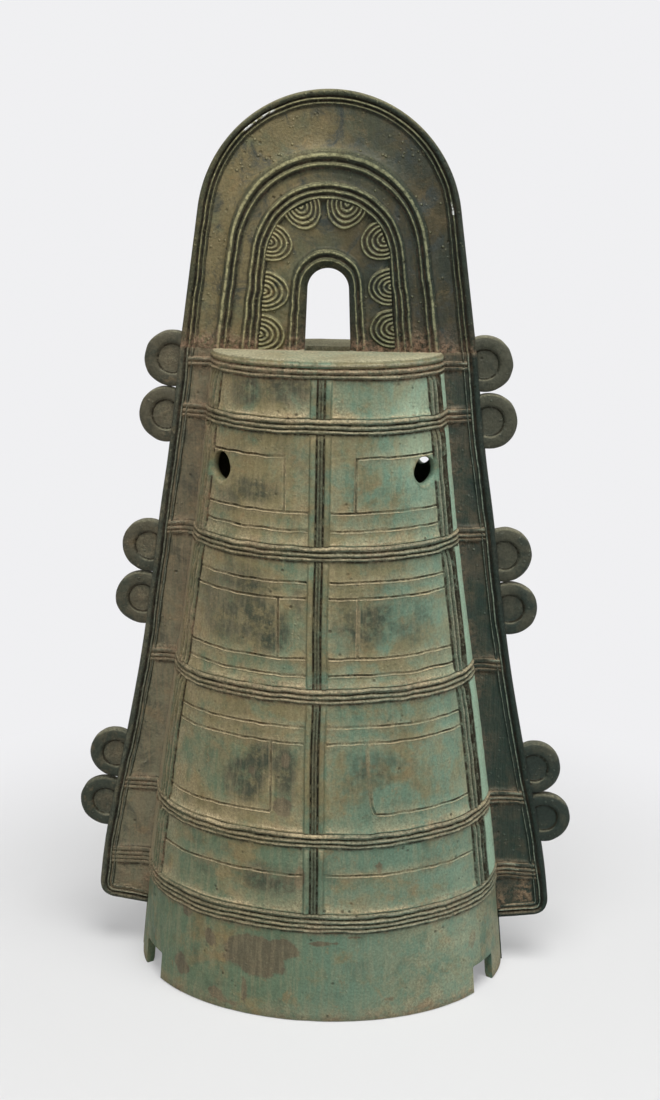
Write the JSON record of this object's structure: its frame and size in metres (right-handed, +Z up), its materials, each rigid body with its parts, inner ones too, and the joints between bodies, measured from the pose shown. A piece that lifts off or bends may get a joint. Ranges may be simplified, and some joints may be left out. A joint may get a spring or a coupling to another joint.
{
  "type": "bronze bell",
  "caption": "Flat oval bronze bell with cord bands, an arched flat handle, ridged side fins with paired round ears, and a tongue swinging on a link inside.",
  "frame": {"origin": "centre of the mouth, on the surface that the bell stands on", "axes": "+Z up through the handle's crown, +X towards fin_right, -Y out of the front face"},
  "size_m": [0.348, 0.1892, 0.5996],
  "materials": {
    "body_bronze": "cast bronze under a teal-green and ochre patina",
    "handle_bronze": "cast bronze under an olive-brown patina",
    "fin_bronze": "cast bronze under a dark green-brown patina",
    "ear_bronze": "cast bronze under a dark grey-green patina",
    "clapper_bronze": "cast bronze, dark brown with rubbed edges"
  },
  "bodies": {
    "bell": {"front_wall": "body_bronze", "back_wall": "body_bronze", "top_plate": "body_bronze", "handle": "handle_bronze", "fin_right": "fin_bronze", "fin_left": "fin_bronze", "ear_right_1": "ear_bronze", "ear_right_2": "ear_bronze", "ear_right_3": "ear_bronze", "ear_right_4": "ear_bronze", "ear_right_5": "ear_bronze", "ear_right_6": "ear_bronze", "ear_left_1": "ear_bronze", "ear_left_2": "ear_bronze", "ear_left_3": "ear_bronze", "ear_left_4": "ear_bronze", "ear_left_5": "ear_bronze", "ear_left_6": "ear_bronze", "clapper_staple": "clapper_bronze"},
    "link": {"clapper_link": "clapper_bronze"},
    "tongue": {"clapper_tongue": "clapper_bronze"}
  },
  "joints": [
    {"name": "link_swing", "type": "hinge", "parent": "bell", "child": "link", "pos_m": [0, 0, 0.4065], "axis": [1, 0, 0], "range_deg": [-9.5, 9.5]},
    {"name": "tongue_swing", "type": "hinge", "parent": "link", "child": "tongue", "pos_m": [0, 0, 0.3492], "axis": [0, 1, 0], "range_deg": [-8, 8]}
  ]
}
